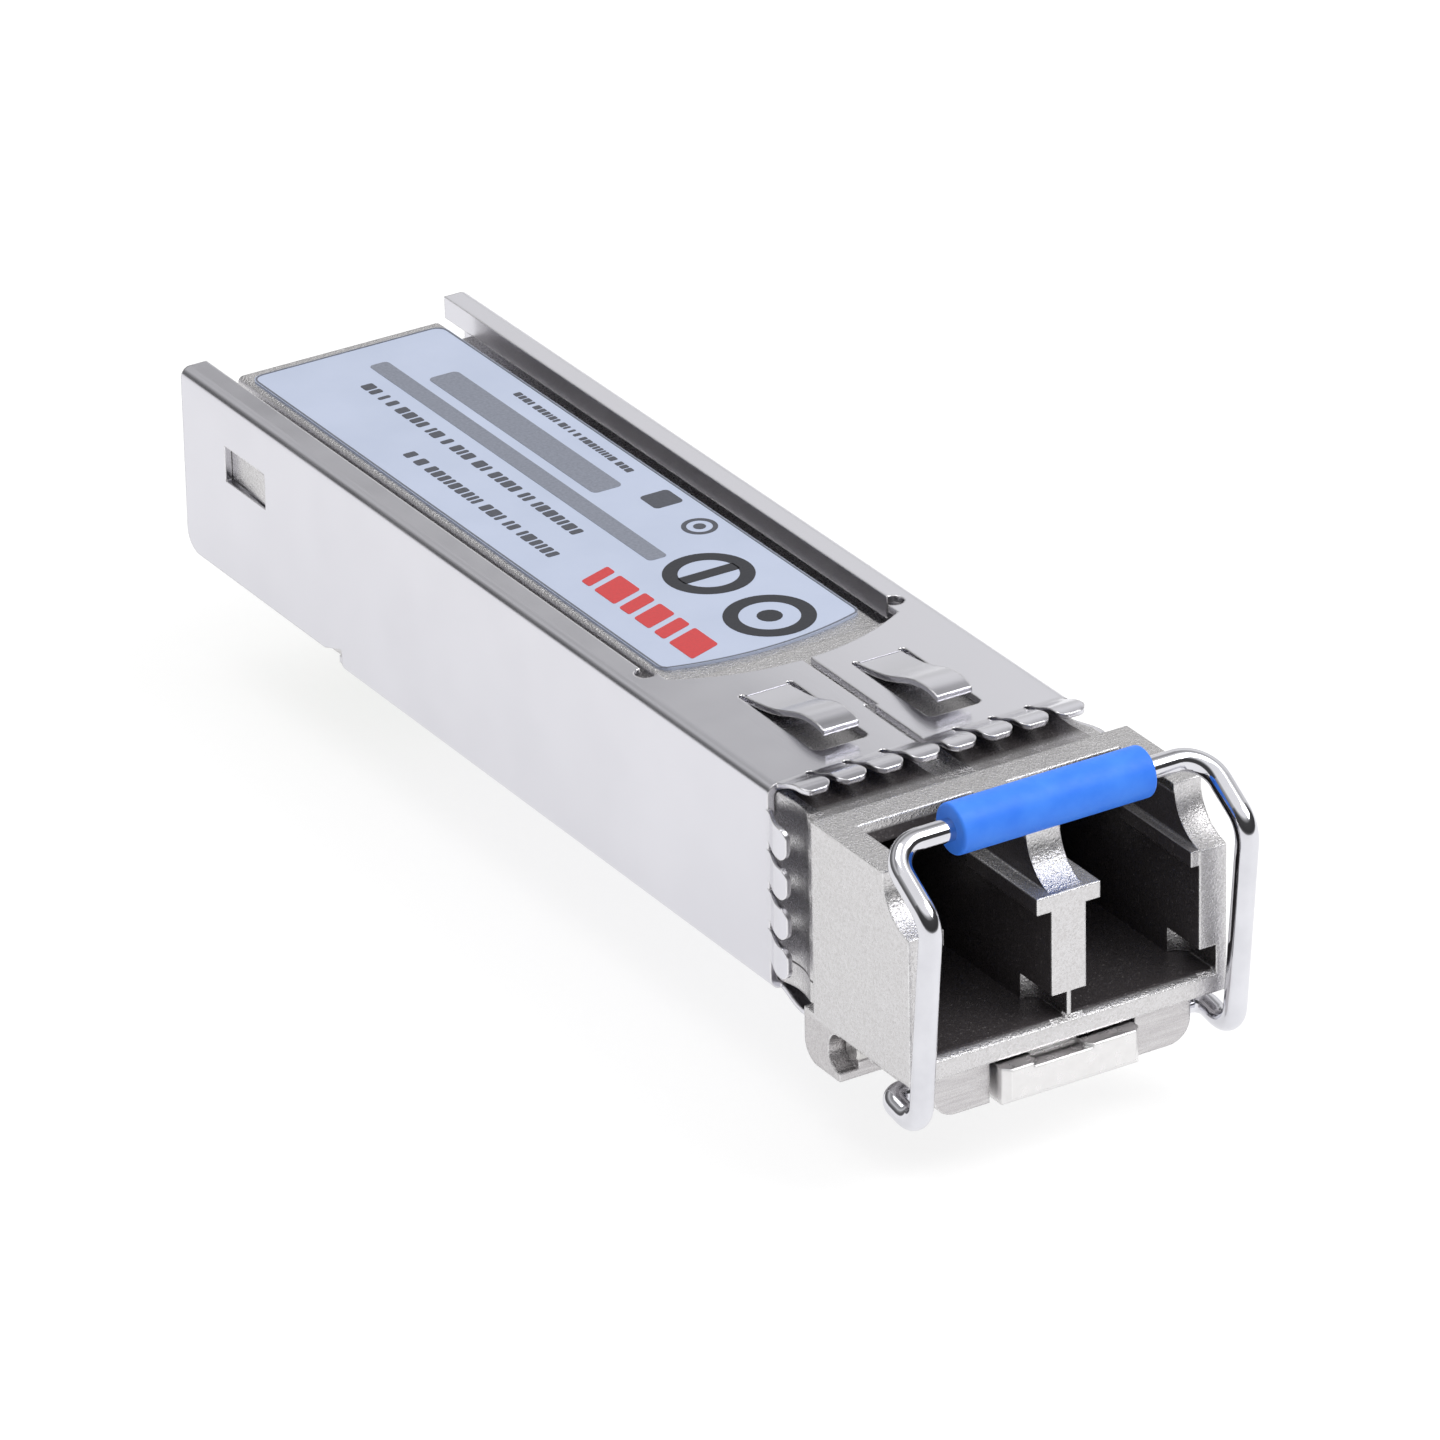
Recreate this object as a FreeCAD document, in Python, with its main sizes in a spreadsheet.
"""Optical transceiver module: a small pluggable fibre-optic unit with a pull-down wire bail.

Millimetres, +Z up, label side up, the duplex fibre port towards -Y, the card edge towards +Y.
Sketch coordinates are taken from the module's own datum: y = 0 is the stop shoulder behind the
nose, z = 0 is the underside of the body, x = 0 is the middle plane.  Every sub-part is then placed
by centre_y and ground_z, so that the origin ends up under the middle of the whole module.
"""
import FreeCAD, Part
import math
import os
import re

import Sketcher
from FreeCAD import Placement, Rotation, Vector

doc = FreeCAD.newDocument("transceiver")
sheet = doc.addObject("Spreadsheet::Sheet", "dims")

DIMENSIONS = {
    # whole module
    "case_half": 6.7,
    "case_top": 8.5,
    "rear_end": 47.5,
    "plate": 0.3,
    "slip": 0.02,
    "lane_x": 3.125,
    "axis_z": 3.95,
    # nose block
    "nose_half": 6.93,
    "nose_front": 6.56,
    "nose_low": 0.45,
    "nose_top": 8.58,
    "scoop_back": 4.88,
    "scoop_top": 8.3,
    "scoop_radius": 1.9,
    "ledge_z": 6.57,
    "ledge_depth": 0.25,
    "roof_front": 1.27,
    "post_half": 0.74,
    "post_web": 0.08,
    "rail_low": 5.9,
    "rail_half": 1.37,
    "rail_rear": 1.8,
    "bay_half": 5.75,
    "bay_floor": 1.35,
    "bay_ceiling": 7.6,
    "bay_back": 7.0,
    "lip_z": 1.08,
    "lip_depth": 0.35,
    "hook_in": 5.4,
    "notch_half": 6.5,
    "notch_top": 2.42,
    "notch_rear": 4.4,
    "notch_depth": 0.72,
    "notch_round": 0.72,
    # block under the nose, its lobes and the lever channel
    "block_half": 5.65,
    "block_front": 6.1,
    "block_rear": 0.65,
    "block_low": 1.48,
    "block_round": 0.95,
    "lobe_front": 1.75,
    "lobe_round": 0.85,
    "seat_y": 1.5,
    "seat_z": 0.45,
    "seat_radius": 0.95,
    "web_out": 6.1,
    "cut_half": 3.2,
    "cut_top": 0.22,
    "hub_room_top": 0.78,
    "hub_room_front": 2.55,
    "channel_half": 1.5,
    "channel_top": 1.05,
    "channel_rear": 5.6,
    "leaf_y": 1.3,
    # die-cast core under the steel cover
    "core_round": 0.22,
    "wall_rear": 9.8,
    "tray_rear": 37.1,
    "tray_floor": 1.2,
    "tray_inner": 5.6,
    "ledge_half": 5.0,
    "parting": 4.3,
    "parting_gap": 0.04,
    "groove_front": 1.1,
    "groove_rear": 3.5,
    "groove_round": 2.6,
    "groove_top_round": 7.5,
    # upper casting
    "upper_rear": 46.4,
    "upper_ceiling": 6.45,
    "shoulder_z": 7.0,
    "island_half": 4.7,
    "island_z": 8.0,
    "island_front": 13.0,
    "island_round": 0.25,
    "card_roof": 5.3,
    "skirt_in": 6.0,
    "skirt_low": 1.0,
    "catch_y": 41.0,
    "catch_long": 2.9,
    "catch_low": 4.95,
    "catch_high": 6.28,
    "catch_out": 0.24,
    # label
    "label_half": 4.45,
    "label_front": 13.75,
    "label_rear": 45.9,
    "label_thick": 0.1,
    "label_round": 0.55,
    "label_arc": 14.0,
    "label_sag": 0.72,
    # steel cover
    "bend": 0.45,
    "cover_front": 3.36,
    "rail_in": 5.51,
    "flange_low": 7.55,
    "flange_front": 14.3,
    "flap_edge": 11.5,
    "flap_arc": 10.0,
    "flap_side": 5.15,
    "curl": 0.42,
    "seam_half": 0.19,
    "seam_step_y": 7.0,
    "seam_step": 0.14,
    "snap_y": 40.9,
    "snap_long": 3.2,
    "snap_low": 4.85,
    "snap_high": 6.38,
    "skirt_z": 0.58,
    "skirt_front": 36.5,
    "heel_y": 35.16,
    "heel_z": 0.96,
    "bottom_rear": 36.04,
    "foot_round": 0.9,
    # contact fingers and spring tongues of the cover
    "finger_count": 8,
    "finger_pitch": 1.6,
    "finger_wide": 1.28,
    "finger_tip": 1.5,
    "finger_rise": 0.45,
    "finger_plate": 0.2,
    "finger_round": 0.42,
    "side_count": 4,
    "side_pitch": 1.65,
    "side_middle": 4.4,
    "tongue_x": 2.5,
    "tongue_root": 10.1,
    "tongue_tip": 4.9,
    "tongue_rise": 0.85,
    "tongue_root_half": 0.98,
    "tongue_tip_half": 0.77,
    "tongue_plate": 0.24,
    "window_half": 1.2,
    "window_front": 4.75,
    "window_round": 0.32,
    "relief": 0.17,
    # circuit board
    "card_low": 2.25,
    "card_thick": 1.0,
    "card_half": 4.6,
    "card_wide_half": 5.5,
    "card_front": 17.0,
    "card_step": 36.6,
    "card_rear": 44.3,
    "card_bevel": 0.5,
    "pad_pitch": 0.8,
    "pad_wide": 0.55,
    "pad_long": 2.9,
    "pad_short": 2.4,
    "pad_thick": 0.04,
    "pad_count": 10,
    # optical sub-assemblies
    "barrel_front": 1.6,
    "barrel_radius": 1.45,
    "barrel_bore": 0.85,
    "flange_radius": 2.15,
    "flange_y": 8.3,
    "flange_rear": 9.8,
    "neck_radius": 1.3,
    "can_front": 10.6,
    "can_radius": 2.2,
    "can_rear": 14.2,
    "header_radius": 2.35,
    "header_rear": 15.0,
    "sleeve_front": 2.0,
    "sleeve_rear": 8.6,
    "ferrule_radius": 0.625,
    "ferrule_depth": 4.6,
    "flex_wide": 2.6,
    "flex_thick": 0.16,
    "flex_rear": 18.8,
    "flex_bend": 0.5,
    "flex_tail": 1.4,
    "clamp_half": 5.5,
    "clamp_low": 1.25,
    "clamp_high": 6.4,
    "clamp_rear": 10.5,
    "gasket_front": 7.8,
    "gasket_rear": 8.3,
    # chips
    "driver_y": 23.0,
    "driver_side": 4.0,
    "driver_high": 1.0,
    "controller_y": 30.5,
    "controller_side": 5.0,
    "controller_high": 0.9,
    "amplifier_y": 19.0,
    "amplifier_side": 2.4,
    "amplifier_high": 0.75,
    "chip_bevel": 0.12,
    "pad_side": 3.8,
    "small_x": 3.9,
    "small_y": 21.5,
    "small_pitch": 1.9,
    "small_count": 7,
    "small_wide": 0.5,
    "small_long": 1.0,
    # bail and latch
    "wire_radius": 0.45,
    "axle_play": 0.05,
    "bail_half": 6.88,
    "bail_axle_y": 5.0,
    "bail_axle_z": 0.6,
    "bail_low_z": 1.02,
    "bail_low_y": 7.15,
    "bail_elbow_y": 8.05,
    "bail_elbow_z": 7.85,
    "bail_top_y": 5.15,
    "bail_top_z": 9.66,
    "bail_inner": 1.7,
    "bend_axle": 0.6,
    "bend_low": 0.95,
    "bend_elbow": 1.2,
    "bend_top": 1.3,
    "cam_flat": 0.08,
    "sleeve_half": 4.2,
    "sleeve_radius": 1.0,
    "sleeve_edge": 0.12,
    "lever_front": 6.9,
    "lever_half": 3.0,
    "lever_top": 0.1,
    "lever_low": 1.41,
    "lever_hub": 0.45,
    "lever_bevel": 0.28,
    "arm_half": 1.3,
    "boss_front": 2.5,
    "boss_rear": 5.1,
    "boss_low": 0.45,
    "arm_top": 0.5,
    "boss_top": 0.2,
    "cam_room": 0.75,
    "cam_floor": 0.85,
    "pin_radius": 0.45,
    "pin_half": 6.25,
    "pin_play": 0.04,
    "pin_chamfer": 0.08,
    "leaf_reach": 1.0,
    "leaf_half": 0.9,
    "leaf_thick": 0.1,
    "leaf_gap": 0.01,
}

for row, (alias, number) in enumerate(DIMENSIONS.items(), start=1):
    sheet.set(f"A{row}", alias)
    sheet.set(f"B{row}", str(number))
    sheet.setAlias(f"B{row}", alias)
sheet.set("D1", "=(rear_end - bail_elbow_y - wire_radius) / 2")
sheet.setAlias("D1", "centre_y")
sheet.set("D2", "=block_low")
sheet.setAlias("D2", "ground_z")
sheet.set("D3", "=case_half - plate - slip")
sheet.setAlias("D3", "core_half")
sheet.set("D4", "=plate + slip")
sheet.setAlias("D4", "core_low")
sheet.set("D5", "=case_top - plate - slip")
sheet.setAlias("D5", "core_top")
sheet.set("D6", "=card_low + card_thick")
sheet.setAlias("D6", "card_top")
doc.recompute()

ALIASES = set(DIMENSIONS) | {"centre_y", "ground_z", "core_half", "core_low", "core_top", "card_top"}


def dim(alias):
    """The number that a cell of the sheet holds."""
    return float(sheet.get(alias))


def linked(formula):
    """A formula in cell names, written as FreeCAD's expressions want it."""
    return re.sub(r"[a-z]\w*", lambda word: "dims." + word[0] if word[0] in ALIASES else word[0], formula)


def amount(formula):
    """The number that such a formula gives."""
    total = re.sub(r"[a-z]\w*", lambda word: repr(dim(word[0])), formula)
    return FreeCAD.Units.Quantity(total.replace("--", "+")).Value


def bind(obj, prop, formula):
    obj.setExpression(prop, linked(formula))


# --- Part primitives and booleans ---------------------------------------------------------------

def block(name, x, y, z):
    """A box; x, y and z are each a pair of formulas, low and high."""
    box = doc.addObject("Part::Box", name)
    for side, axis, (low, high) in (("Length", "x", x), ("Width", "y", y), ("Height", "z", z)):
        bind(box, side, f"({high}) - ({low})")
        bind(box, f"Placement.Base.{axis}", low)
    return box


AXIS_TURN = {
    "x": Rotation(Vector(0, 1, 0), 90),
    "y": Rotation(Vector(1, 0, 0), -90),
    "z": Rotation(),
}


def rod(name, axis, start, radius, length):
    """A cylinder along an axis; start is its x, y, z as formulas."""
    cylinder = doc.addObject("Part::Cylinder", name)
    cylinder.Placement = Placement(Vector(), AXIS_TURN[axis])
    bind(cylinder, "Radius", radius)
    bind(cylinder, "Height", length)
    for letter, formula in zip("xyz", start):
        bind(cylinder, f"Placement.Base.{letter}", formula)
    return cylinder


def fuse(name, pieces):
    union = doc.addObject("Part::MultiFuse", name)
    union.Shapes = pieces
    return union


def cut(name, base, tool):
    result = doc.addObject("Part::Cut", name)
    result.Base = base
    result.Tool = tool
    return result


# --- PartDesign bodies --------------------------------------------------------------------------

PLANES = {"xy": ("XY_Plane", 1), "xz": ("XZ_Plane", -1), "yz": ("YZ_Plane", 1)}


def body(name):
    return doc.addObject("PartDesign::Body", name)


def plane_sketch(owner, name, plane, start):
    """An empty sketch on one of the body's origin planes, moved to start along the plane's axis."""
    role, sense = PLANES[plane]
    sketch = owner.newObject("Sketcher::SketchObject", name)
    support = [feature for feature in owner.Origin.OriginFeatures if feature.Role == role][0]
    sketch.AttachmentSupport = (support, [""])
    sketch.MapMode = "FlatFace"
    bind(sketch, "AttachmentOffset.Base.z", f"({start}) * {sense}")
    return sketch


def hold(sketch, kind, name, formula, *places):
    """A driving constraint whose value comes from the sheet."""
    index = sketch.addConstraint(Sketcher.Constraint(kind, *places, amount(formula)))
    sketch.renameConstraint(index, name)
    bind(sketch, f"Constraints.{name}", formula)


def arc_through(first, last, bulge):
    """The arc from first to last with radius |bulge|, its centre to the left where bulge > 0."""
    chord = last - first
    left = Vector(-chord.y, chord.x, 0).normalize()
    side = math.copysign(1, bulge)
    rise = abs(bulge) - math.sqrt(bulge ** 2 - (chord.Length / 2) ** 2)
    return Part.Arc(first, (first + last) / 2 - left * side * rise, last)


def draw_outline(sketch, outline):
    """A closed outline; a point is (u, v), or (u, v, sense, radius) where an arc follows it."""
    spots = [Vector(amount(point[0]), amount(point[1]), 0) for point in outline]
    count = len(outline)
    ends = []
    for index, point in enumerate(outline):
        first, last = spots[index], spots[(index + 1) % count]
        if len(point) == 2:
            sketch.addGeometry(Part.LineSegment(first, last))
            ends.append((1, 2))
            continue
        sketch.addGeometry(arc_through(first, last, point[2] * amount(point[3])))
        forward = (sketch.getPoint(index, 1) - first).Length < (sketch.getPoint(index, 2) - first).Length
        ends.append((1, 2) if forward else (2, 1))
    for index in range(count):
        after = (index + 1) % count
        sketch.addConstraint(Sketcher.Constraint("Coincident", index, ends[index][1], after, ends[after][0]))
    for index, point in enumerate(outline):
        hold(sketch, "DistanceX", f"u{index}", point[0], -1, 1, index, ends[index][0])
        hold(sketch, "DistanceY", f"v{index}", point[1], -1, 1, index, ends[index][0])
        if len(point) == 4:
            hold(sketch, "Radius", f"arc{index}", point[3], index)


def draw_circle(sketch, centre, radius):
    spot = Vector(amount(centre[0]), amount(centre[1]), 0)
    sketch.addGeometry(Part.Circle(spot, Vector(0, 0, 1), amount(radius)))
    hold(sketch, "DistanceX", "centre_u", centre[0], -1, 1, 0, 3)
    hold(sketch, "DistanceY", "centre_v", centre[1], -1, 1, 0, 3)
    hold(sketch, "Radius", "size", radius, 0)


def box_outline(low_u, high_u, low_v, high_v):
    return [(low_u, low_v), (high_u, low_v), (high_u, high_v), (low_u, high_v)]


def pad(owner, name, plane, shape, span):
    """Material between two stations along the plane's axis; shape is an outline or (centre, radius)."""
    start = span[0] if PLANES[plane][1] > 0 else span[1]
    sketch = plane_sketch(owner, name + "_sketch", plane, start)
    if isinstance(shape, tuple):
        draw_circle(sketch, *shape)
    else:
        draw_outline(sketch, shape)
    feature = owner.newObject("PartDesign::Pad", name)
    feature.Profile = sketch
    bind(feature, "Length", f"({span[1]}) - ({span[0]})")
    return feature


def pocket(owner, name, plane, shape, span):
    """A cut between two stations along the plane's axis."""
    start = span[1] if PLANES[plane][1] > 0 else span[0]
    sketch = plane_sketch(owner, name + "_sketch", plane, start)
    if isinstance(shape, tuple):
        draw_circle(sketch, *shape)
    else:
        draw_outline(sketch, shape)
    doc.recompute()
    before = owner.Shape.Volume
    feature = owner.newObject("PartDesign::Pocket", name)
    feature.Profile = sketch
    bind(feature, "Length", f"({span[1]}) - ({span[0]})")
    doc.recompute()
    if not owner.Shape.Volume < before - 1e-4:
        raise SystemExit(f"{name} cuts nothing from {owner.Name}")
    return feature


def revolve(owner, name, outline):
    """A turned solid about the Y axis; the outline is (radius, y)."""
    sketch = plane_sketch(owner, name + "_sketch", "xy", "0")
    draw_outline(sketch, outline)
    feature = owner.newObject("PartDesign::Revolution", name)
    feature.Profile = sketch
    feature.ReferenceAxis = (sketch, ["V_Axis"])
    feature.Angle = 360
    return feature


def edges_where(shape, test):
    """The names of the straight or round edges whose middle point passes the test."""
    names = []
    for index, edge in enumerate(shape.Edges, start=1):
        if edge.Length > 1e-6 and test(edge, edge.BoundBox.Center):
            names.append(f"Edge{index}")
    return names


def dress(owner, kind, name, prop, size, test):
    """A fillet or chamfer on the edges of the body that pass the test."""
    doc.recompute()
    base = owner.Tip
    names = edges_where(owner.Shape, test)
    if not names:
        raise SystemExit(f"{name} finds no edge on {owner.Name}")
    feature = owner.newObject(f"PartDesign::{kind}", name)
    feature.Base = (base, names)
    bind(feature, prop, size)
    return feature


def along(edge, axis):
    """Whether an edge runs along one axis only."""
    box = edge.BoundBox
    size = {"x": box.XLength, "y": box.YLength, "z": box.ZLength}
    return size.pop(axis) > 1e-4 and max(size.values()) < 1e-4


SUBPARTS = []


def place(obj, label, x="0", y="0", z="0"):
    """Name a finished sub-part and set it in the module's frame."""
    obj.Label = label
    bind(obj, "Placement.Base.x", x)
    bind(obj, "Placement.Base.y", f"{y} - centre_y")
    bind(obj, "Placement.Base.z", f"{z} + ground_z")
    SUBPARTS.append(obj)
    return obj


def place_shape(shape, label):
    """The same for a shape made straight from Part's functions."""
    feature = doc.addObject("Part::Feature", label + "_shape")
    feature.Shape = shape
    return place(feature, label)


# --- Lower casting: nose with the duplex port, latch block and tray ------------------------------

def nose_profile():
    """Side view of the nose: a flat roof, a concave scoop and a ledge above the front face."""
    return [
        ("0", "nose_low"),
        ("0", "nose_top"),
        ("-scoop_back", "nose_top"),
        ("-scoop_back", "scoop_top", -1, "scoop_radius"),
        ("ledge_depth - nose_front", "ledge_z"),
        ("-nose_front", "ledge_z - 0.08"),
        ("-nose_front", "nose_low"),
    ]


def core_foot(low):
    """The lower edge of a core section, its corners rounded to clear the bends of the cover."""
    return [
        ("-core_half", f"{low} + core_round", 1, "core_round"),
        ("-core_half + core_round", low),
        ("core_half - core_round", low, 1, "core_round"),
        ("core_half", f"{low} + core_round"),
    ]


def core_roof(high):
    """The upper edge of a core section, rounded in the same way."""
    return [
        ("core_half", f"{high} - core_round", 1, "core_round"),
        ("core_half - core_round", high),
        ("-core_half + core_round", high, 1, "core_round"),
        ("-core_half", f"{high} - core_round"),
    ]


def add_nose(casting):
    pad(casting, "nose", "yz", nose_profile(), ("-nose_half", "nose_half"))
    core = core_foot("core_low") + core_roof("core_top")
    pad(casting, "core", "xz", core, ("-0.5", "wall_rear"))
    tray = core_foot("core_low") + [("core_half", "parting"), ("-core_half", "parting")]
    pad(casting, "tray", "xz", tray, ("wall_rear - 0.5", "tray_rear"))


def add_latch_block(casting):
    low = "-block_low"
    section = [
        ("-block_half", "nose_low + 0.2"),
        ("-block_half", f"{low} + block_round", 1, "block_round"),
        ("-block_half + block_round", low),
        ("block_half - block_round", low, 1, "block_round"),
        ("block_half", f"{low} + block_round"),
        ("block_half", "nose_low + 0.2"),
    ]
    pad(casting, "latch_block", "xz", section, ("-block_front", "block_rear"))
    lobe = [
        ("-lobe_front", "-block_low"),
        ("block_rear - lobe_round", "-block_low", 1, "lobe_round"),
        ("block_rear", "lobe_round - block_low"),
        ("block_rear", "nose_low + 0.2"),
        ("-lobe_front", "nose_low + 0.2"),
    ]
    spans = {"left": ("-nose_half", "-block_half + 0.9"), "right": ("block_half - 0.9", "nose_half")}
    for side, span in spans.items():
        pad(casting, f"lobe_{side}", "yz", lobe, span)


def cut_notch(casting, name, face_x, deep_x, turn):
    """A notch low down in the side of a bay, with a round end towards the rear."""
    outline = [
        (face_x, "-notch_rear", turn, "notch_round"),
        (deep_x, "-notch_rear - notch_depth"),
        (deep_x, "-nose_front - 1"),
        (face_x, "-nose_front - 1"),
    ]
    pocket(casting, name, "xy", outline, ("bay_floor", "notch_top"))


def cut_port(casting):
    for side, low, high in (("left", "-bay_half", "-post_half"), ("right", "post_half", "bay_half")):
        bay = box_outline(low, high, "bay_floor", "bay_ceiling")
        pocket(casting, f"bay_{side}", "xz", bay, ("-nose_front - 1", "bay_back"))
        window = box_outline(low, high, "bay_ceiling - 0.5", "nose_top + 1")
        pocket(casting, f"latch_window_{side}", "xz", window, ("-nose_front - 1", "-roof_front"))
    for side, sign, turn in (("left", "-", -1), ("right", "", 1)):
        cut_notch(casting, f"wall_notch_{side}", f"{sign}bay_half", f"{sign}notch_half", -turn)
        cut_notch(casting, f"post_notch_{side}", f"{sign}post_half", f"{sign}post_web", turn)
    lip = [
        ("-nose_front - 0.2", "lip_z"),
        ("lip_depth - nose_front", "bay_floor"),
        ("lip_depth - nose_front", "bay_floor + 0.1"),
        ("-nose_front - 0.2", "bay_floor + 0.1"),
    ]
    pocket(casting, "floor_lip", "yz", lip, ("-notch_half", "notch_half"))


def add_port_guides(casting):
    head = box_outline("-rail_half", "rail_half", "rail_low", "ledge_z")
    pad(casting, "post_head", "xz", head, ("-nose_front", "-rail_rear"))
    spans = {"left": ("-bay_half - 0.1", "-hook_in"), "right": ("hook_in", "bay_half + 0.1")}
    for side, (low, high) in spans.items():
        rail = box_outline(low, high, "rail_low", "ledge_z - 0.05")
        pad(casting, f"wall_rail_{side}", "xz", rail, ("0.04 - nose_front", "-rail_rear"))


def cut_latch_room(casting):
    recess = box_outline("-cut_half", "cut_half", "-block_low - 1", "cut_top")
    pocket(casting, "lever_recess", "xz", recess, ("-block_front - 1", "block_rear + 0.1"))
    hub = box_outline("-cut_half", "cut_half", "0", "hub_room_top")
    pocket(casting, "hub_room", "xz", hub, ("-hub_room_front", "-0.3"))
    channel = box_outline("-channel_half", "channel_half", "-0.5", "channel_top")
    pocket(casting, "arm_channel", "xz", channel, ("-1", "channel_rear"))
    axle = (("-bail_axle_y", "-bail_axle_z"), "wire_radius + axle_play")
    pocket(casting, "axle_bore", "yz", axle, ("-block_half - 0.5", "block_half + 0.5"))
    pin = (("-seat_y", "-seat_z"), "pin_radius")
    pocket(casting, "pin_bore", "yz", pin, ("-nose_half - 1", "nose_half + 1"))
    mouth = [
        ("-seat_y", "-seat_z - seat_radius + 0.25", 1, "seat_radius - 0.125"),
        ("-seat_y", "-seat_z + seat_radius - 0.1"),
        ("-lobe_front - 1", "-seat_z + seat_radius - 0.1"),
        ("-lobe_front - 1", "-seat_z - seat_radius + 0.25"),
    ]
    for side, span in (("left", ("-nose_half - 0.5", "-web_out")), ("right", ("web_out", "nose_half + 0.5"))):
        pocket(casting, f"hook_mouth_{side}", "yz", mouth, span)


def cut_finger_groove(casting):
    """A shallow concave groove round the neck, under the contact fingers."""
    top = [
        ("groove_front", "core_top + 0.4"),
        ("groove_front", "core_top", 1, "groove_top_round"),
        ("groove_rear", "core_top"),
        ("groove_rear", "core_top + 0.4"),
    ]
    pocket(casting, "groove_top", "yz", top, ("-core_half - 1", "core_half + 1"))
    for side, sign in (("left", "-"), ("right", "")):
        turn = -1 if sign == "-" else 1
        flank = [
            (f"{sign}(core_half + 0.4)", "groove_front"),
            (f"{sign}core_half", "groove_front", -turn, "groove_round"),
            (f"{sign}core_half", "groove_rear"),
            (f"{sign}(core_half + 0.4)", "groove_rear"),
        ]
        pocket(casting, f"groove_{side}", "xy", flank, ("core_low - 0.5", "core_top + 0.5"))


def cut_tray(casting):
    well = box_outline("-ledge_half", "ledge_half", "tray_floor", "parting + 1")
    pocket(casting, "well", "xz", well, ("wall_rear", "tray_rear - 1.2"))
    seat = box_outline("-tray_inner", "tray_inner", "card_low", "parting + 1")
    pocket(casting, "card_seat", "xz", seat, ("wall_rear", "tray_rear + 1"))
    for side, sign in (("left", "-"), ("right", "")):
        centre = (f"{sign}lane_x", "axis_z")
        pocket(casting, f"barrel_hole_{side}", "xz", (centre, "barrel_radius + 0.03"),
               ("bay_back - 0.5", "wall_rear + 0.5"))
        pocket(casting, f"flange_hole_{side}", "xz", (centre, "flange_radius + 0.03"),
               ("gasket_front", "wall_rear + 0.5"))


def lower_housing():
    casting = body("lower_casting")
    add_nose(casting)
    add_latch_block(casting)
    cut_port(casting)
    add_port_guides(casting)
    cut_latch_room(casting)
    cut_finger_groove(casting)
    cut_tray(casting)
    place(casting, "lower_housing")


# --- Upper casting: the lid that carries the label -----------------------------------------------

def upper_housing():
    lid = body("upper_casting")
    flat_roof = [("-core_half", "parting + parting_gap"), ("core_half", "parting + parting_gap")]
    flat_roof += core_roof("core_top")
    pad(lid, "front_roof", "xz", flat_roof, ("wall_rear + parting_gap", "island_front"))
    shell = [
        ("-core_half", "parting + parting_gap"),
        ("core_half", "parting + parting_gap"),
        ("core_half", "shoulder_z"),
        ("island_half", "shoulder_z"),
        ("island_half", "island_z"),
        ("-island_half", "island_z"),
        ("-island_half", "shoulder_z"),
        ("-core_half", "shoulder_z"),
    ]
    pad(lid, "island", "xz", shell, ("island_front - 0.5", "upper_rear"))
    for side, low, high in (("left", "-core_half", "-skirt_in"), ("right", "skirt_in", "core_half")):
        skirt = box_outline(low, high, "skirt_low", "parting + 0.5")
        pad(lid, f"skirt_{side}", "xz", skirt, ("tray_rear + parting_gap", "upper_rear"))
    inside = box_outline("-tray_inner", "tray_inner", "parting - 1", "upper_ceiling")
    pocket(lid, "inside", "xz", inside, ("wall_rear - 1", "tray_rear"))
    rear = box_outline("-skirt_in", "skirt_in", "skirt_low - 1", "card_roof")
    pocket(lid, "card_mouth", "xz", rear, ("tray_rear - 0.5", "upper_rear + 1"))
    for side, sign in (("left", "-"), ("right", "")):
        ramp = [
            (f"{sign}(core_half - 0.2)", "catch_y"),
            (f"{sign}(core_half + catch_out)", "catch_y"),
            (f"{sign}core_half", "catch_y + catch_long"),
            (f"{sign}(core_half - 0.2)", "catch_y + catch_long"),
        ]
        pad(lid, f"catch_{side}", "xy", ramp, ("catch_low", "catch_high"))
    island_z, front = dim("island_z"), dim("island_front")
    dress(lid, "Fillet", "island_rounding", "Radius", "island_round",
          lambda edge, spot: along(edge, "y") and abs(spot.z - island_z) < 0.01 and spot.y > front)
    place(lid, "upper_housing")


def label():
    """A thin polyester label with round corners and an arched front edge."""
    film = body("label_film")
    outline = [
        ("-label_half", "label_front + label_sag", 1, "label_arc"),
        ("label_half", "label_front + label_sag"),
        ("label_half", "label_rear"),
        ("-label_half", "label_rear"),
    ]
    pad(film, "film", "xy", outline, ("island_z", "island_z + label_thick"))
    dress(film, "Fillet", "corners", "Radius", "label_round", lambda edge, spot: along(edge, "z"))
    place(film, "label")


# --- Stainless steel cover, formed from one sheet -------------------------------------------------

def long_box(half, low_y, high_y, low_z, high_z):
    return Part.makeBox(2 * half, high_y - low_y, high_z - low_z, Vector(-half, low_y, low_z))


def with_round_edges(shape, radius, axis, test=lambda spot: True):
    edges = [edge for edge in shape.Edges if along(edge, axis) and test(edge.BoundBox.Center)]
    return shape.makeFillet(radius, edges)


def formed_strip(points, thickness, low_x, high_x):
    """A strip of sheet bent along a smooth line of (y, z) points, its upper face on the points."""
    upper = [Vector(0, y, z) for y, z in points]
    lower = [Vector(0, y, z - thickness) for y, z in points]
    edges = []
    for line in (upper, lower[::-1]):
        curve = Part.BSplineCurve()
        curve.interpolate(line)
        edges.append(curve.toShape())
    edges.insert(1, Part.makeLine(upper[-1], lower[-1]))
    edges.append(Part.makeLine(lower[0], upper[0]))
    face = Part.Face(Part.Wire(edges))
    face.translate(Vector(low_x, 0, 0))
    return face.extrude(Vector(high_x - low_x, 0, 0))


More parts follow.
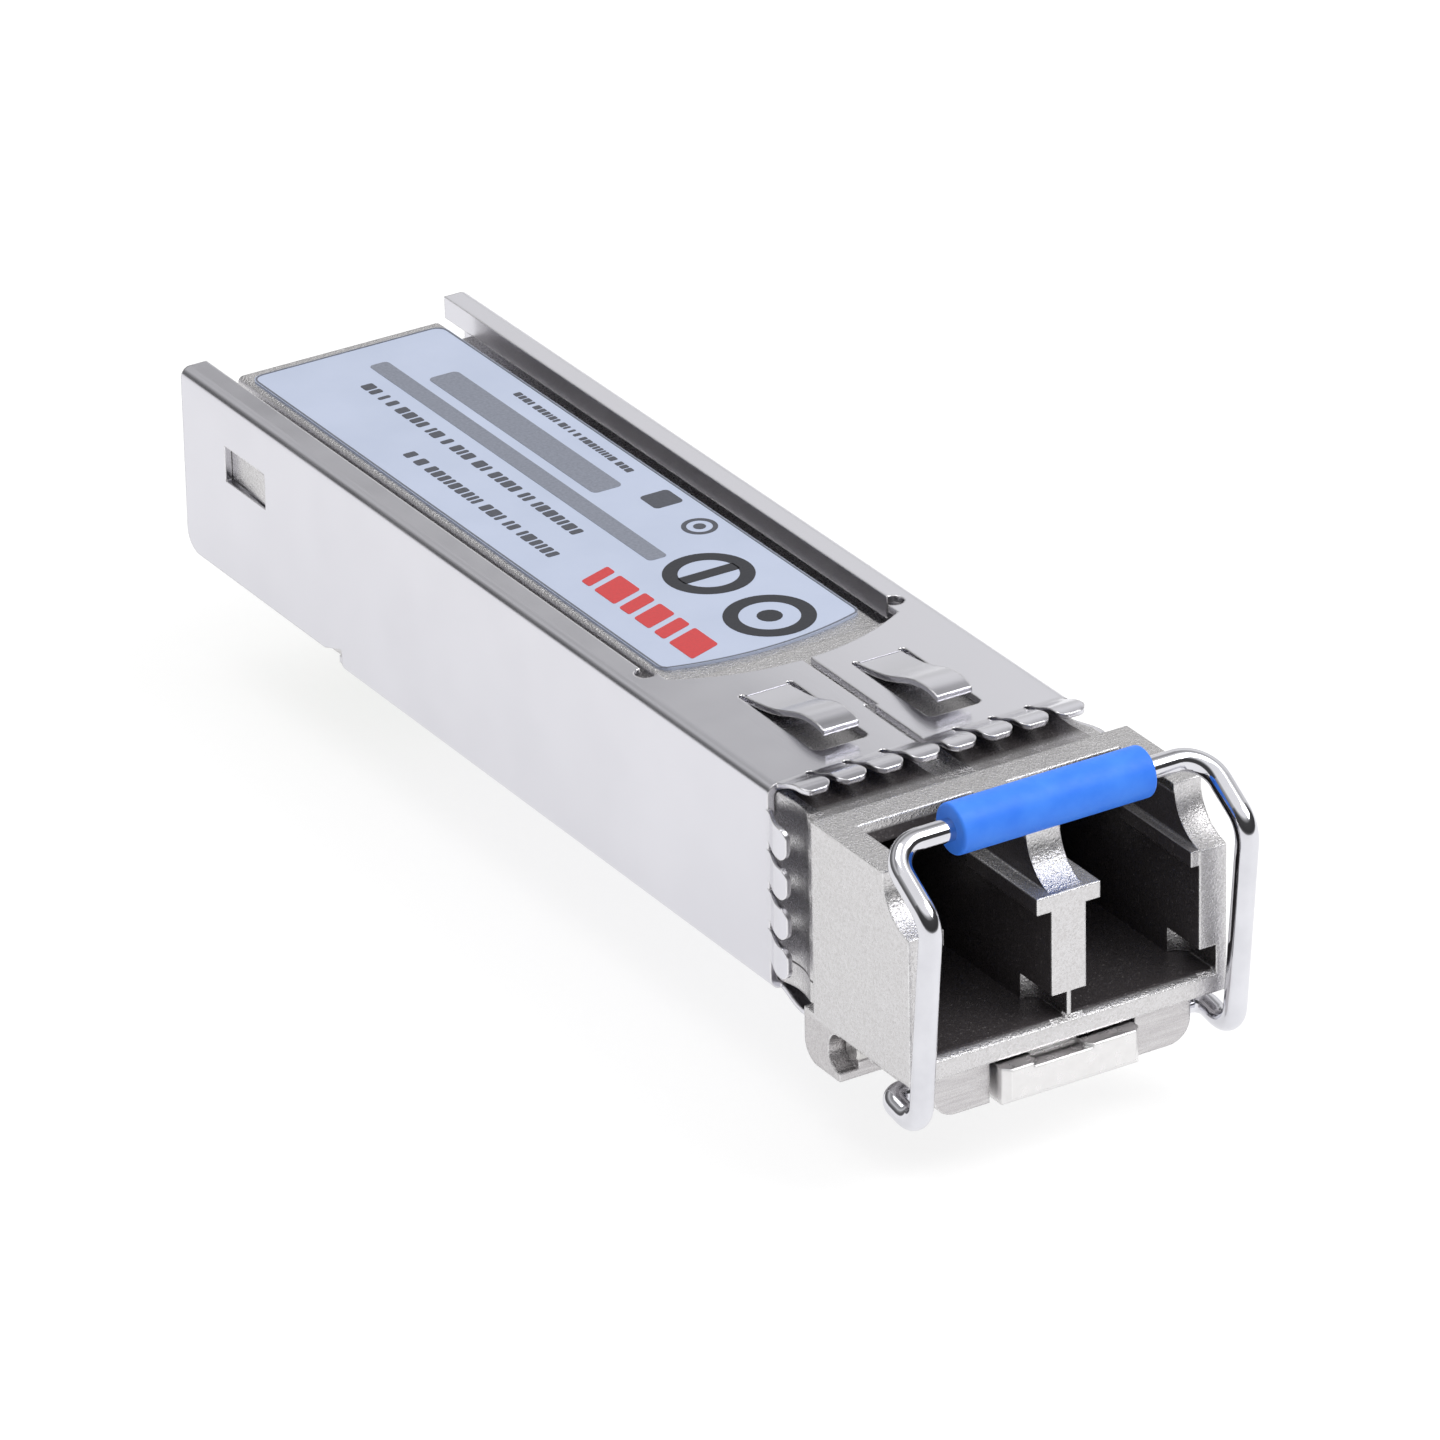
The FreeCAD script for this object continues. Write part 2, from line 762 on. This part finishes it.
def finger_line():
    """The side view of one contact finger: it swells outwards and ends above the casting."""
    edge, tip, top = dim("cover_front"), dim("finger_tip"), 0.0
    rise = dim("finger_rise")
    return [(edge + 0.25, top), (edge - 0.1, top + 0.04), (edge - 0.75, top + 0.66 * rise),
            (tip + 0.45, top + rise), (tip, top + 0.86 * rise)]


def finger_row(count, pitch):
    """Fingers side by side, pointing to -Y with their roots on z = 0, rounded at the tips."""
    wide, tip = dim("finger_wide"), dim("finger_tip")
    reach = dim("finger_rise") + 0.5
    row = []
    for index in range(count):
        middle = (index - (count - 1) / 2) * pitch
        strip = formed_strip(finger_line(), dim("finger_plate"), middle - wide / 2, middle + wide / 2)
        blank = Part.makeBox(wide, 4, 2 * reach, Vector(middle - wide / 2, tip, -reach))
        blank = with_round_edges(blank, dim("finger_round"), "z", lambda spot: spot.y < tip + 0.01)
        row.append(strip.common(blank))
    return row


def turned_about_y(shapes, angle, shift):
    moved = []
    for shape in shapes:
        copy = shape.copy()
        copy.rotate(Vector(), Vector(0, 1, 0), angle)
        copy.translate(shift)
        moved.append(copy)
    return moved


def contact_fingers():
    top_row = finger_row(int(dim("finger_count")), dim("finger_pitch"))
    side_row = finger_row(int(dim("side_count")), dim("side_pitch"))
    case_half, side_z = dim("case_half"), dim("side_middle")
    fingers = turned_about_y(top_row, 0, Vector(0, 0, dim("case_top")))
    fingers += turned_about_y(side_row, 90, Vector(case_half, 0, side_z))
    fingers += turned_about_y(side_row, -90, Vector(-case_half, 0, side_z))
    outer = [finger for finger in turned_about_y(top_row, 180, Vector())
             if abs(finger.BoundBox.Center.x) > dim("cut_half")]
    return fingers + outer


def spring_tongue(side):
    """One raised tongue of the cover, narrower at its free end."""
    root, tip, top = dim("tongue_root"), dim("tongue_tip"), dim("case_top")
    rise, middle = dim("tongue_rise"), side * dim("tongue_x")
    line = [(root + 0.5, top - 0.03), (root, top - 0.02), (root - 0.6, top + 0.05),
            (root - 1.9, top + 0.3 * rise), (tip + 1.5, top + 0.93 * rise), (tip + 0.9, top + rise),
            (tip, top + 0.82 * rise)]
    strip = formed_strip(line, dim("tongue_plate"), middle - 1.2, middle + 1.2)
    wide, narrow = dim("tongue_root_half"), dim("tongue_tip_half")
    corners = [Vector(middle - wide, root + 0.4, 0), Vector(middle + wide, root + 0.4, 0),
               Vector(middle + narrow, tip - 0.1, 0), Vector(middle - narrow, tip - 0.1, 0)]
    plan = Part.Face(Part.makePolygon(corners + corners[:1]))
    plan.translate(Vector(0, 0, top - 1))
    return strip.common(plan.extrude(Vector(0, 0, 3)))


def tongue_window(side):
    """The hole that a tongue leaves, with relief holes at its root."""
    middle, half = side * dim("tongue_x"), dim("window_half")
    front, root, top = dim("window_front"), dim("tongue_root"), dim("case_top")
    hole = Part.makeBox(2 * half, root - front, 2, Vector(middle - half, front, top - 1))
    hole = with_round_edges(hole, dim("window_round"), "z", lambda spot: spot.y < front + 0.01)
    for sign in (-1, 1):
        spot = Vector(middle + sign * (half - dim("relief")), root, top - 1)
        hole = hole.fuse(Part.makeCylinder(dim("relief"), 2, spot))
    return hole


def wrapped_sheet():
    half, top, plate, bend = dim("case_half"), dim("case_top"), dim("plate"), dim("bend")
    front, rear = dim("cover_front"), dim("rear_end")
    outer = with_round_edges(long_box(half, front, rear, 0, top), bend, "y")
    inner = long_box(half - plate, front - 1, rear + 1, plate, top - plate)
    return outer.cut(with_round_edges(inner, bend - plate + 0.02, "y"))


def label_opening():
    """The long opening in the cover's top, arched at its front, with a curl relief at each side."""
    rail, rear, top = dim("rail_in"), dim("rear_end"), dim("case_top")
    side, arc, edge = dim("flap_side"), dim("flap_arc"), dim("flap_edge")
    side_y = edge + arc - math.sqrt(arc ** 2 - side ** 2)
    arch = Part.makeCylinder(arc, 2, Vector(0, edge + arc, top - 1))
    arch = arch.common(long_box(side, edge - 1, side_y + 0.5, top - 1, top + 1))
    opening = long_box(rail, dim("flange_front") - 0.55, rear + 1, top - 1, top + 1)
    opening = opening.fuse([arch, long_box(side, side_y - 0.01, dim("flange_front"), top - 1, top + 1)])
    for sign in (-1, 1):
        spot = Vector(sign * (rail + 0.02), dim("flange_front") - 0.45, top - 1)
        opening = opening.fuse(Part.makeCylinder(dim("curl"), 2, spot))
    return opening


def rail_flanges():
    """The inner edge of each top rail, turned down."""
    top, low, plate, rail = dim("case_top"), dim("flange_low"), dim("plate"), dim("rail_in")
    front, rear = dim("flange_front"), dim("rear_end")
    flanges = []
    for sign in (-1, 1):
        strip = Part.makeBox(plate, rear - front, top - low, Vector(rail, front, low))
        strip = with_round_edges(strip, plate - 0.02, "y",
                                 lambda spot: spot.z > top - 0.01 and spot.x < rail + 0.01)
        if sign < 0:
            strip = strip.mirror(Vector(), Vector(1, 0, 0))
        flanges.append(strip)
    return flanges


def skirt_cut():
    """What is trimmed from the bottom edge: the side skirts end higher behind the heel."""
    half, rear = dim("case_half") + 1, dim("rear_end") + 1
    heel, lift = dim("heel_y"), dim("heel_z")
    front, skirt = dim("skirt_front"), dim("skirt_z")
    profile = [(heel, -1), (heel, lift), (heel + 0.14, lift), (front, skirt), (rear, skirt), (rear, -1)]
    corners = [Vector(-half, y, z) for y, z in profile]
    sides = Part.Face(Part.makePolygon(corners + corners[:1])).extrude(Vector(2 * half, 0, 0))
    keep = long_box(dim("case_half") - dim("plate") - 0.1, heel - 1, dim("bottom_rear"), -2, 2)
    return sides.cut(keep)


def shield_cover():
    half, top, plate = dim("case_half"), dim("case_top"), dim("plate")
    front, rear, seam = dim("cover_front"), dim("rear_end"), dim("seam_half")
    sheet_metal = wrapped_sheet().cut([label_opening(), skirt_cut()])
    step_y, step = dim("seam_step_y"), dim("seam_step")
    seams = [Part.makeBox(2 * seam, step_y - front + 1, 2, Vector(-seam, front - 1, top - 1)),
             Part.makeBox(2 * seam, 6, 2, Vector(step - seam, step_y - 0.2, top - 1))]
    snap_y = dim("snap_y")
    snap = long_box(half + 1, snap_y, snap_y + dim("snap_long"), dim("snap_low"), dim("snap_high"))
    boss_hole = long_box(dim("channel_half") + 0.1, front - 1, dim("channel_rear"), -1, plate + 0.5)
    holes = [Part.makeCylinder(dim("relief"), 2, Vector(index * dim("finger_pitch"), front + 0.05, top - 1))
             for index in (-3, -2, -1, 1, 2, 3)]
    sheet_metal = sheet_metal.cut(seams + [snap, boss_hole, tongue_window(-1), tongue_window(1)] + holes)
    sheet_metal = with_round_edges(sheet_metal, dim("foot_round"), "x",
                                   lambda spot: spot.y > rear - 0.01 and spot.z < dim("skirt_z") + 0.01)
    parts = rail_flanges() + contact_fingers() + [spring_tongue(-1), spring_tongue(1)]
    place_shape(sheet_metal.fuse(parts), "shield_cover")


# --- Circuit board and what is on it ---------------------------------------------------------------

def circuit_board():
    card = body("card")
    outline = [
        ("-card_wide_half", "card_front"),
        ("card_wide_half", "card_front"),
        ("card_wide_half", "card_step"),
        ("card_half", "card_step"),
        ("card_half", "card_rear"),
        ("-card_half", "card_rear"),
        ("-card_half", "card_step"),
        ("-card_wide_half", "card_step"),
    ]
    pad(card, "laminate", "xy", outline, ("card_low", "card_top"))
    rear_y = dim("card_rear")
    dress(card, "Chamfer", "card_corners", "Size", "card_bevel",
          lambda edge, spot: along(edge, "z") and spot.y > rear_y - 0.01)
    dress(card, "Chamfer", "edge_bevel", "Size", "card_bevel / 2",
          lambda edge, spot: along(edge, "x") and spot.y > rear_y - 0.01)
    place(card, "circuit_board")


def edge_contacts(label_name, low, high):
    """Ten gold pads in one row; the first and last pads are longer, so that ground mates first."""
    pads = []
    count = int(dim("pad_count"))
    tip = "card_rear - card_bevel - 0.1"
    for index in range(count):
        middle = f"({index} - (pad_count - 1) / 2) * pad_pitch"
        length = "pad_long" if index in (0, count - 1) else "pad_short"
        across = (f"{middle} - pad_wide / 2", f"{middle} + pad_wide / 2")
        pads.append(block(f"{label_name}_{index}", across, (f"{tip} - {length}", tip), (low, high)))
    place(fuse(label_name + "_row", pads), label_name)


def chip(kind):
    """A square package with a bevelled lid, soldered on the middle line of the board."""
    package = body(kind + "_package")
    half, middle = f"{kind}_side / 2", f"{kind}_y"
    outline = box_outline(f"-{half}", half, f"{middle} - {half}", f"{middle} + {half}")
    pad(package, kind + "_mould", "xy", outline, ("card_top", f"card_top + {kind}_high"))
    top_z = amount(f"card_top + {kind}_high")
    dress(package, "Chamfer", kind + "_bevel", "Size", "chip_bevel",
          lambda edge, spot: spot.z > top_z - 0.01)
    place(package, kind + "_chip")


def chip_parts():
    """Small capacitors and resistors in two files beside the chips."""
    pieces = []
    for side, x in (("left", "-small_x"), ("right", "small_x")):
        for index in range(int(dim("small_count"))):
            y = f"small_y + {index} * small_pitch"
            across = (f"{x} - small_wide / 2", f"{x} + small_wide / 2")
            ahead = (f"{y} - small_long / 2", f"{y} + small_long / 2")
            upward = ("card_top", "card_top + small_wide")
            pieces.append(block(f"chip_part_{side}_{index}", across, ahead, upward))
    place(fuse("chip_part_group", pieces), "chip_capacitors")


def heat_pad():
    """A soft gap filler between the driver chip and the lid."""
    half = "pad_side / 2"
    square = box_outline(f"-{half}", half, f"driver_y - {half}", f"driver_y + {half}")
    filler = body("filler")
    pad(filler, "filler_sheet", "xy", square, ("card_top + driver_high", "upper_ceiling"))
    place(filler, "heat_pad")


# --- Optical sub-assemblies ---------------------------------------------------------------------

def receptacle(name, x):
    """A turned steel barrel with a flange that is clamped behind the port."""
    barrel = body(name + "_barrel")
    revolve(barrel, name + "_turning", [
        ("barrel_bore", "barrel_front + 0.35"),
        ("barrel_bore + 0.3", "barrel_front"),
        ("barrel_radius - 0.15", "barrel_front"),
        ("barrel_radius", "barrel_front + 0.15"),
        ("barrel_radius", "flange_y"),
        ("flange_radius", "flange_y"),
        ("flange_radius", "flange_rear"),
        ("neck_radius", "flange_rear"),
        ("neck_radius", "can_front"),
        ("barrel_bore", "can_front"),
    ])
    place(barrel, name, x, "0", "axis_z")


def split_sleeve(name, x):
    """A zirconia sleeve with a blind bore that takes the plug's ferrule."""
    sleeve = body(name + "_ceramic")
    revolve(sleeve, name + "_turning", [
        ("ferrule_radius", "sleeve_front"),
        ("barrel_bore - 0.01", "sleeve_front"),
        ("barrel_bore - 0.01", "sleeve_rear"),
        ("0", "sleeve_rear"),
        ("0", "sleeve_front + ferrule_depth"),
        ("ferrule_radius", "sleeve_front + ferrule_depth"),
    ])
    place(sleeve, name, x, "0", "axis_z")


def optical_can(name, x):
    """A sealed metal can, the laser or the photodiode inside, with its header at the rear."""
    can = body(name + "_case")
    revolve(can, name + "_turning", [
        ("0", "can_front"),
        ("can_radius - 0.3", "can_front"),
        ("can_radius", "can_front + 0.3"),
        ("can_radius", "can_rear"),
        ("header_radius", "can_rear"),
        ("header_radius", "header_rear"),
        ("0", "header_rear"),
    ])
    place(can, name, x, "0", "axis_z")


def flex_circuit(name, x):
    """A thin flexible circuit from a can's header, bent over on to the board."""
    film = body(name + "_film")
    outline = [
        ("header_rear", "axis_z + flex_tail"),
        ("header_rear", "card_top + flex_bend", 1, "flex_bend"),
        ("header_rear + flex_bend", "card_top"),
        ("flex_rear", "card_top"),
        ("flex_rear", "card_top + flex_thick"),
        ("header_rear + flex_bend", "card_top + flex_thick", -1, "flex_bend - flex_thick"),
        ("header_rear + flex_thick", "card_top + flex_bend"),
        ("header_rear + flex_thick", "axis_z + flex_tail"),
    ]
    pad(film, name + "_strip", "yz", outline, (f"{x} - flex_wide / 2", f"{x} + flex_wide / 2"))
    place(film, name)


def clamp_plate():
    """A stamped plate that holds both flanges against the port wall."""
    plate_body = body("clamp_sheet")
    outline = box_outline("-clamp_half + 0.6", "clamp_half - 0.6", "clamp_low", "clamp_high")
    pad(plate_body, "clamp_blank", "xz", outline, ("flange_rear", "clamp_rear - 0.3"))
    for side, sign in (("left", "-"), ("right", "")):
        slot = box_outline(f"{sign}lane_x - neck_radius - 0.05", f"{sign}lane_x + neck_radius + 0.05",
                           "clamp_low - 1", "axis_z")
        pocket(plate_body, f"clamp_slot_{side}", "xz", slot, ("flange_rear - 1", "clamp_rear + 1"))
        pocket(plate_body, f"clamp_round_{side}", "xz", ((f"{sign}lane_x", "axis_z"), "neck_radius + 0.05"),
               ("flange_rear - 1", "clamp_rear + 1"))
    place(plate_body, "receptacle_clamp")


def gasket():
    """Two conductive rings that seal the barrels where they pass the port wall."""
    rings = []
    for index, x in enumerate(("-lane_x", "lane_x")):
        thick = "gasket_rear - gasket_front"
        outer = rod(f"ring_{index}", "y", (x, "gasket_front", "axis_z"), "flange_radius", thick)
        inner = rod(f"ring_bore_{index}", "y", (x, "gasket_front - 1", "axis_z"),
                    "barrel_radius + 0.02", f"{thick} + 2")
        rings.append(cut(f"ring_cut_{index}", outer, inner))
    place(fuse("ring_pair", rings), "shielding_rings")


# --- Bail and latch ---------------------------------------------------------------------------------

def bail_wire():
    """A bent wire: two cranked arms, a cross bar, and two short axle ends with a cam flat."""
    half, axle_y, axle_z = dim("bail_half"), -dim("bail_axle_y"), -dim("bail_axle_z")
    low_y, low_z = -dim("bail_low_y"), -dim("bail_low_z")
    elbow_y, elbow_z = -dim("bail_elbow_y"), dim("bail_elbow_z")
    top_y, top_z = -dim("bail_top_y"), dim("bail_top_z")
    side = [Vector(dim("bail_inner"), axle_y, axle_z), Vector(half, axle_y, axle_z),
            Vector(half, low_y, low_z), Vector(half, elbow_y, elbow_z), Vector(half, top_y, top_z)]
    route = side + [Vector(-spot.x, spot.y, spot.z) for spot in side[::-1]]
    radii = [dim("bend_axle"), dim("bend_low"), dim("bend_elbow"), dim("bend_top")]
    path = rounded_path(route, radii + radii[::-1])
    circle = Part.Wire(Part.Circle(route[0], Vector(1, 0, 0), dim("wire_radius")).toShape())
    wire = Part.Wire(path).makePipeShell([circle], True, False)
    relief = long_box(dim("lever_half") + 0.1, axle_y - 1, axle_y + 1, axle_z - 1, axle_z - dim("cam_flat"))
    place_shape(wire.cut(relief), "bail_wire")


def rounded_path(route, radii):
    """Straight runs joined by tangent arcs; there is one radius for each inner point."""
    edges = []
    start = route[0]
    for index, radius in enumerate(radii, start=1):
        before = (route[index - 1] - route[index]).normalize()
        after = (route[index + 1] - route[index]).normalize()
        half_angle = before.getAngle(after) / 2
        reach = radius / math.tan(half_angle)
        middle = (before + after).normalize()
        centre = route[index] + middle * (radius / math.sin(half_angle))
        first, last = route[index] + before * reach, route[index] + after * reach
        edges.append(Part.makeLine(start, first))
        edges.append(Part.Arc(first, centre - middle * radius, last).toShape())
        start = last
    edges.append(Part.makeLine(start, route[-1]))
    return edges


def bail_sleeve():
    """The coloured grip moulded over the cross bar."""
    grip = body("grip")
    middle = ("-bail_top_y", "bail_top_z")
    pad(grip, "grip_rod", "yz", (middle, "sleeve_radius"), ("-sleeve_half", "sleeve_half"))
    dress(grip, "Fillet", "grip_ends", "Radius", "sleeve_edge", lambda edge, spot: not along(edge, "x"))
    pocket(grip, "grip_bore", "yz", (middle, "wire_radius"), ("-sleeve_half - 1", "sleeve_half + 1"))
    place(grip, "bail_sleeve")


def latch_lever():
    """A rocker: finger bar in front, hub in the middle, latch boss at the rear."""
    lever = body("rocker")
    bar = [
        ("-lever_front", "-lever_low"),
        ("-seat_y + 0.3", "-lever_low"),
        ("-0.35", "-seat_z"),
        ("-0.35", "lever_hub"),
        ("-seat_y - 0.7", "lever_hub"),
        ("-seat_y - 0.95", "lever_top"),
        ("-lever_front", "lever_top"),
    ]
    pad(lever, "bar", "yz", bar, ("-lever_half", "lever_half"))
    arm = [
        ("-0.6", "-seat_z + 0.1"),
        ("0.05", "0.02"),
        ("boss_front", "0.02"),
        ("boss_front", "-boss_low"),
        ("boss_rear - 0.9", "-boss_low"),
        ("boss_rear", "-0.05"),
        ("boss_rear", "boss_top"),
        ("boss_front + 0.6", "boss_top"),
        ("boss_front", "arm_top"),
        ("-0.6", "arm_top - 0.05"),
    ]
    pad(lever, "arm", "yz", arm, ("-arm_half", "arm_half"))
    groove = box_outline("-bail_axle_y - cam_room", "-bail_axle_y + cam_room", "-cam_floor", "lever_top + 1")
    pocket(lever, "cam_groove", "yz", groove, ("-lever_half - 1", "lever_half + 1"))
    pocket(lever, "hub_bore", "yz", (("-seat_y", "-seat_z"), "pin_radius + pin_play"),
           ("-lever_half - 1", "lever_half + 1"))
    notch = box_outline("-1.5", "0.6", "lever_top - 0.14", "lever_top + 1")
    pocket(lever, "thumb_notch", "xz", notch, ("-lever_front - 1", "-bail_axle_y - cam_room - 0.3"))
    front_y = -dim("lever_front")
    dress(lever, "Chamfer", "bar_bevel", "Size", "lever_bevel",
          lambda edge, spot: spot.y < front_y + 0.01 and (along(edge, "z") or spot.z < -1))
    place(lever, "latch_lever")


def pivot_pin():
    pin = body("pin")
    pad(pin, "pin_rod", "yz", (("-seat_y", "-seat_z"), "pin_radius"), ("-pin_half", "pin_half"))
    dress(pin, "Chamfer", "pin_ends", "Size", "pin_chamfer", lambda edge, spot: not along(edge, "x"))
    place(pin, "latch_pivot_pin")


def latch_spring():
    """A bowed leaf between the lever arm and the casting above it."""
    leaf = body("leaf")
    bow = "(channel_top - arm_top - 2 * leaf_gap)"
    outline = [
        ("leaf_y - leaf_reach", "arm_top + leaf_gap"),
        ("leaf_y - leaf_reach + leaf_thick", "arm_top + leaf_gap", -1,
         f"((leaf_reach - leaf_thick) ^ 2 + ({bow} - leaf_thick) ^ 2) / (2 * ({bow} - leaf_thick))"),
        ("leaf_y + leaf_reach - leaf_thick", "arm_top + leaf_gap"),
        ("leaf_y + leaf_reach", "arm_top + leaf_gap", 1, f"(leaf_reach ^ 2 + {bow} ^ 2) / (2 * {bow})"),
    ]
    pad(leaf, "leaf_strip", "yz", outline, ("-leaf_half", "leaf_half"))
    place(leaf, "latch_spring")


# --- The whole module -----------------------------------------------------------------------------------

def build_all():
    lower_housing()
    upper_housing()
    label()
    shield_cover()
    circuit_board()
    edge_contacts("edge_contacts_top", "card_top", "card_top + pad_thick")
    edge_contacts("edge_contacts_bottom", "card_low - pad_thick", "card_low")
    for kind in ("driver", "controller", "amplifier"):
        chip(kind)
    chip_parts()
    heat_pad()
    for name, x in (("transmitter", "-lane_x"), ("receiver", "lane_x")):
        receptacle(f"{name}_receptacle", x)
        split_sleeve(f"{name}_sleeve", x)
        optical_can(f"{name}_can", x)
        flex_circuit(f"{name}_flex", x)
    clamp_plate()
    gasket()
    bail_wire()
    bail_sleeve()
    latch_lever()
    pivot_pin()
    latch_spring()
    doc.recompute()


def check_all():
    """Stop if any object failed, or any sub-part is empty or not valid."""
    for obj in doc.Objects:
        if "Invalid" in obj.State or "Error" in obj.State:
            raise SystemExit(f"{obj.Label} failed to compute")
    for piece in SUBPARTS:
        if piece.Shape.isNull() or not piece.Shape.isValid() or piece.Shape.Volume <= 0:
            raise SystemExit(f"{piece.Label} has no valid shape")


build_all()
check_all()
os.makedirs("parts", exist_ok=True)
whole = FreeCAD.BoundBox()
for piece in SUBPARTS:
    piece.Shape.exportStep(f"parts/{piece.Label}.step")
    whole.add(piece.Shape.BoundBox)
    print(f"{piece.Label:24s} solids {len(piece.Shape.Solids)} volume {piece.Shape.Volume:9.3f}")
print("whole", whole)
